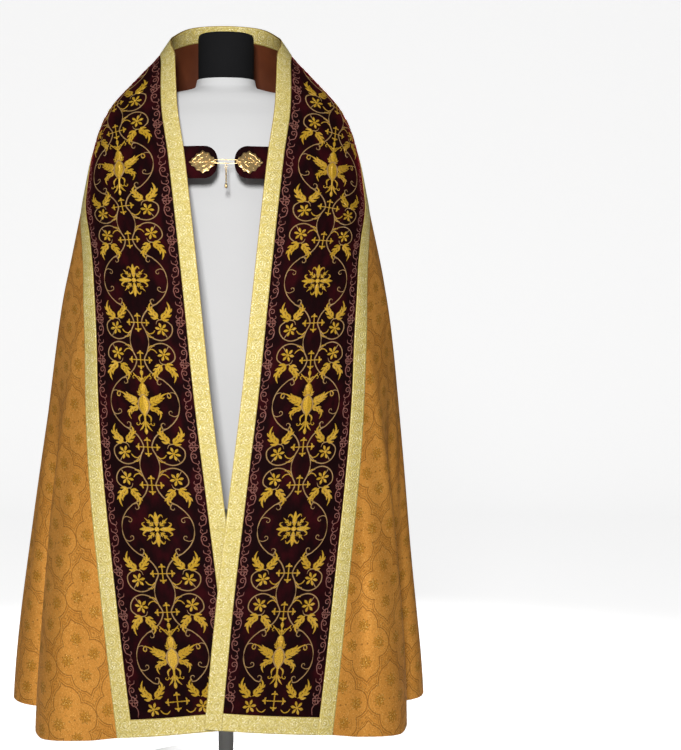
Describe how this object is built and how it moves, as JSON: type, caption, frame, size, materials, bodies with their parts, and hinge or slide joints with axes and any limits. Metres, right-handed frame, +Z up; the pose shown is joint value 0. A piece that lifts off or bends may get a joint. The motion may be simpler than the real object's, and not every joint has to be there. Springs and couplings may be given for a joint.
{
  "type": "cope vestment on a limbless dress form",
  "caption": "Full-length semicircular cope with broad velvet front bands, braid edging, fringed shield hood and chest clasp, worn on a headless stand form.",
  "frame": {"origin": "centre of the stand's underside, on the floor", "axes": "+Z up, the front of the cope faces -Y, the wearer's right is at -X"},
  "size_m": [0.8771, 0.6568, 1.6054],
  "materials": {
    "brocade": "golden orange damask with a small woven figure and a metal thread",
    "velvet": "dark wine pile velvet with gold embroidery",
    "braid": "pale gold woven metallic braid",
    "bullion": "brown gold twisted fringe",
    "lining": "rust satin lining",
    "gilt": "pale gilt filigree",
    "cover": "off-white jersey over the form",
    "felt": "black cover of the neck block",
    "steel": "pale grey paint"
  },
  "bodies": {
    "root": {"body_back": "brocade", "body_left": "brocade", "body_right": "brocade", "orphrey_left": "velvet", "orphrey_right": "velvet", "inner_braid_left": "braid", "inner_braid_right": "braid", "outer_braid_left": "braid", "outer_braid_right": "braid", "hem_braid_left": "braid", "hem_braid_right": "braid", "centre_back_braid": "braid", "neck_braid": "braid", "neck_lining": "lining", "hood": "velvet", "hood_braid": "braid", "hood_fringe": "bullion", "morse_tab_left": "velvet", "morse_tab_right": "velvet", "clasp_left": "gilt", "clasp_right": "gilt", "clasp_hook": "gilt", "form_torso": "cover", "form_neck": "felt", "form_pole": "steel", "form_base": "steel"},
    "pendant_ring": {"pendant_ring": "gilt"},
    "pendant": {"pendant": "gilt"}
  },
  "joints": [
    {"name": "ring_swing", "type": "hinge", "parent": "root", "child": "pendant_ring", "pos_m": [0, -0.185, 1.2754], "axis": [1, 0, 0], "range_deg": [-90, 20]},
    {"name": "pendant_sway", "type": "hinge", "parent": "pendant_ring", "child": "pendant", "pos_m": [0, -0.185, 1.2699], "axis": [0, 1, 0], "range_deg": [-35, 35]}
  ]
}
